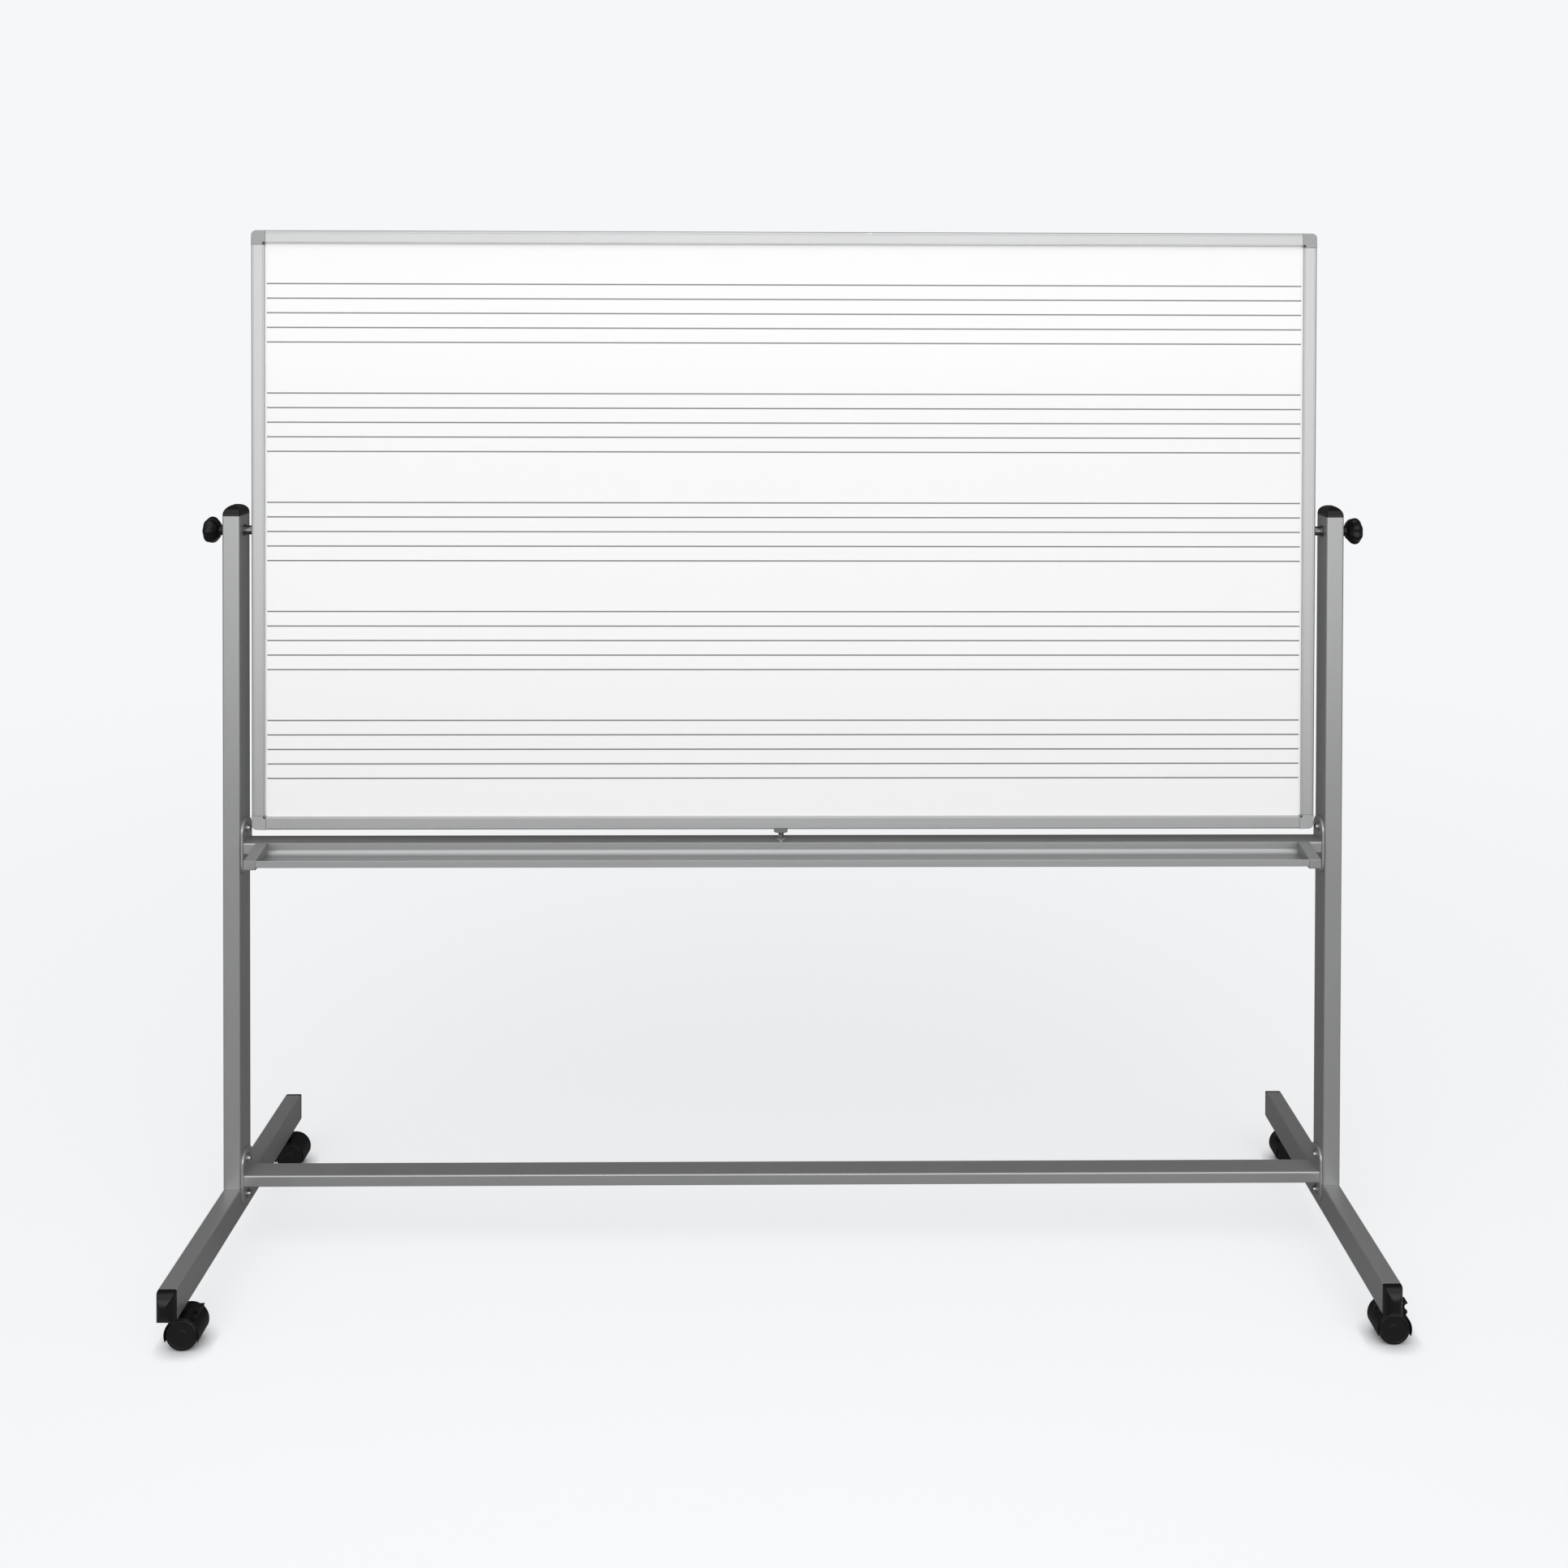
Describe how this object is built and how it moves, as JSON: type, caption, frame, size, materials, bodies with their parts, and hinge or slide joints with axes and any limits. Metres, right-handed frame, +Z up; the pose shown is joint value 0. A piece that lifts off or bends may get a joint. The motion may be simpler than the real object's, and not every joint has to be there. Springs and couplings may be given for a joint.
{
  "type": "rolling whiteboard",
  "caption": "Double-sided writing board in an aluminium frame that turns over between two uprights, on a wheeled steel stand with a marker tray.",
  "frame": {"origin": "on the floor, under the middle of the stand", "axes": "+X to the viewer's right along the board, +Y to the back, +Z up"},
  "size_m": [2.0266, 0.6066, 1.7795],
  "materials": {
    "frame_paint": "satin silver-grey powder coat",
    "rail_aluminium": "satin anodised",
    "tray_aluminium": "satin anodised",
    "writing_enamel": "gloss white enamel with printed grey staff lines",
    "panel_core": "raw fibreboard, hidden",
    "grey_plastic": "fine moulded texture",
    "black_plastic": "satin moulded",
    "caster_plastic": "matt moulded nylon",
    "caster_tread": "matt",
    "bolt_zinc": "bright zinc"
  },
  "bodies": {
    "stand": {"upright_left": "frame_paint", "upright_right": "frame_paint", "foot_left": "frame_paint", "foot_right": "frame_paint", "lower_crossbar": "frame_paint", "upper_crossbar": "frame_paint", "marker_tray": "tray_aluminium", "tray_cap_left": "grey_plastic", "tray_cap_right": "grey_plastic", "catch_clip": "grey_plastic", "upright_cap_left": "black_plastic", "upright_cap_right": "black_plastic", "foot_cap_front_left": "black_plastic", "foot_cap_front_right": "black_plastic", "foot_cap_rear_left": "black_plastic", "foot_cap_rear_right": "black_plastic", "upper_bolt_top_left": "bolt_zinc", "upper_bolt_top_right": "bolt_zinc", "upper_bolt_bottom_left": "bolt_zinc", "upper_bolt_bottom_right": "bolt_zinc", "lower_bolt_top_left": "bolt_zinc", "lower_bolt_top_right": "bolt_zinc", "lower_bolt_bottom_left": "bolt_zinc", "lower_bolt_bottom_right": "bolt_zinc", "caster_front_left_stem": "bolt_zinc", "caster_front_right_stem": "bolt_zinc", "caster_rear_left_stem": "bolt_zinc", "caster_rear_right_stem": "bolt_zinc"},
    "board": {"board_core": "panel_core", "front_sheet": "writing_enamel", "rear_sheet": "writing_enamel", "rail_top": "rail_aluminium", "rail_bottom": "rail_aluminium", "rail_left": "rail_aluminium", "rail_right": "rail_aluminium", "corner_top_left": "grey_plastic", "corner_top_right": "grey_plastic", "corner_bottom_left": "grey_plastic", "corner_bottom_right": "grey_plastic", "pivot_insert_left": "bolt_zinc", "pivot_insert_right": "bolt_zinc", "pivot_spacer_left": "bolt_zinc", "pivot_spacer_right": "bolt_zinc", "catch_striker": "grey_plastic"},
    "knob_left": {"knob_left": "black_plastic"},
    "knob_right": {"knob_right": "black_plastic"},
    "caster_front_left_swivel": {"caster_front_left_hood": "caster_plastic"},
    "caster_front_left_wheel_front": {"caster_front_left_wheel_front": "caster_tread"},
    "caster_front_left_wheel_rear": {"caster_front_left_wheel_rear": "caster_tread"},
    "caster_front_left_brake": {"caster_front_left_brake": "caster_plastic"},
    "caster_front_right_swivel": {"caster_front_right_hood": "caster_plastic"},
    "caster_front_right_wheel_front": {"caster_front_right_wheel_front": "caster_tread"},
    "caster_front_right_wheel_rear": {"caster_front_right_wheel_rear": "caster_tread"},
    "caster_front_right_brake": {"caster_front_right_brake": "caster_plastic"},
    "caster_rear_left_swivel": {"caster_rear_left_hood": "caster_plastic"},
    "caster_rear_left_wheel_front": {"caster_rear_left_wheel_front": "caster_tread"},
    "caster_rear_left_wheel_rear": {"caster_rear_left_wheel_rear": "caster_tread"},
    "caster_rear_right_swivel": {"caster_rear_right_hood": "caster_plastic"},
    "caster_rear_right_wheel_front": {"caster_rear_right_wheel_front": "caster_tread"},
    "caster_rear_right_wheel_rear": {"caster_rear_right_wheel_rear": "caster_tread"}
  },
  "joints": [
    {"name": "board_flip", "type": "hinge", "parent": "stand", "child": "board", "pos_m": [0, 0, 1.257], "axis": [1, 0, 0], "continuous": true},
    {"name": "knob_left_turn", "type": "hinge", "parent": "board", "child": "knob_left", "pos_m": [-1, 0, 1.257], "axis": [-1, 0, 0], "range_deg": [0, 270]},
    {"name": "knob_right_turn", "type": "hinge", "parent": "board", "child": "knob_right", "pos_m": [1, 0, 1.257], "axis": [1, 0, 0], "range_deg": [0, 270]},
    {"name": "caster_front_left_turn", "type": "hinge", "parent": "stand", "child": "caster_front_left_swivel", "pos_m": [-0.959, -0.245, 0.05], "axis": [0, 0, 1], "continuous": true},
    {"name": "caster_front_left_wheel_front_roll", "type": "hinge", "parent": "caster_front_left_swivel", "child": "caster_front_left_wheel_front", "pos_m": [-0.946, -0.245, 0.025], "axis": [0, 1, 0], "continuous": true},
    {"name": "caster_front_left_wheel_rear_roll", "type": "hinge", "parent": "caster_front_left_swivel", "child": "caster_front_left_wheel_rear", "pos_m": [-0.946, -0.245, 0.025], "axis": [0, 1, 0], "continuous": true},
    {"name": "caster_front_left_brake_press", "type": "hinge", "parent": "caster_front_left_swivel", "child": "caster_front_left_brake", "pos_m": [-0.92879, -0.245, 0.04958], "axis": [0, 1, 0], "range_deg": [0, 15]},
    {"name": "caster_front_right_turn", "type": "hinge", "parent": "stand", "child": "caster_front_right_swivel", "pos_m": [0.959, -0.245, 0.05], "axis": [0, 0, 1], "continuous": true},
    {"name": "caster_front_right_wheel_front_roll", "type": "hinge", "parent": "caster_front_right_swivel", "child": "caster_front_right_wheel_front", "pos_m": [0.972, -0.245, 0.025], "axis": [0, 1, 0], "continuous": true},
    {"name": "caster_front_right_wheel_rear_roll", "type": "hinge", "parent": "caster_front_right_swivel", "child": "caster_front_right_wheel_rear", "pos_m": [0.972, -0.245, 0.025], "axis": [0, 1, 0], "continuous": true},
    {"name": "caster_front_right_brake_press", "type": "hinge", "parent": "caster_front_right_swivel", "child": "caster_front_right_brake", "pos_m": [0.98921, -0.245, 0.04958], "axis": [0, 1, 0], "range_deg": [0, 15]},
    {"name": "caster_rear_left_turn", "type": "hinge", "parent": "stand", "child": "caster_rear_left_swivel", "pos_m": [-0.959, 0.245, 0.05], "axis": [0, 0, 1], "continuous": true},
    {"name": "caster_rear_left_wheel_front_roll", "type": "hinge", "parent": "caster_rear_left_swivel", "child": "caster_rear_left_wheel_front", "pos_m": [-0.946, 0.245, 0.025], "axis": [0, 1, 0], "continuous": true},
    {"name": "caster_rear_left_wheel_rear_roll", "type": "hinge", "parent": "caster_rear_left_swivel", "child": "caster_rear_left_wheel_rear", "pos_m": [-0.946, 0.245, 0.025], "axis": [0, 1, 0], "continuous": true},
    {"name": "caster_rear_right_turn", "type": "hinge", "parent": "stand", "child": "caster_rear_right_swivel", "pos_m": [0.959, 0.245, 0.05], "axis": [0, 0, 1], "continuous": true},
    {"name": "caster_rear_right_wheel_front_roll", "type": "hinge", "parent": "caster_rear_right_swivel", "child": "caster_rear_right_wheel_front", "pos_m": [0.972, 0.245, 0.025], "axis": [0, 1, 0], "continuous": true},
    {"name": "caster_rear_right_wheel_rear_roll", "type": "hinge", "parent": "caster_rear_right_swivel", "child": "caster_rear_right_wheel_rear", "pos_m": [0.972, 0.245, 0.025], "axis": [0, 1, 0], "continuous": true}
  ]
}
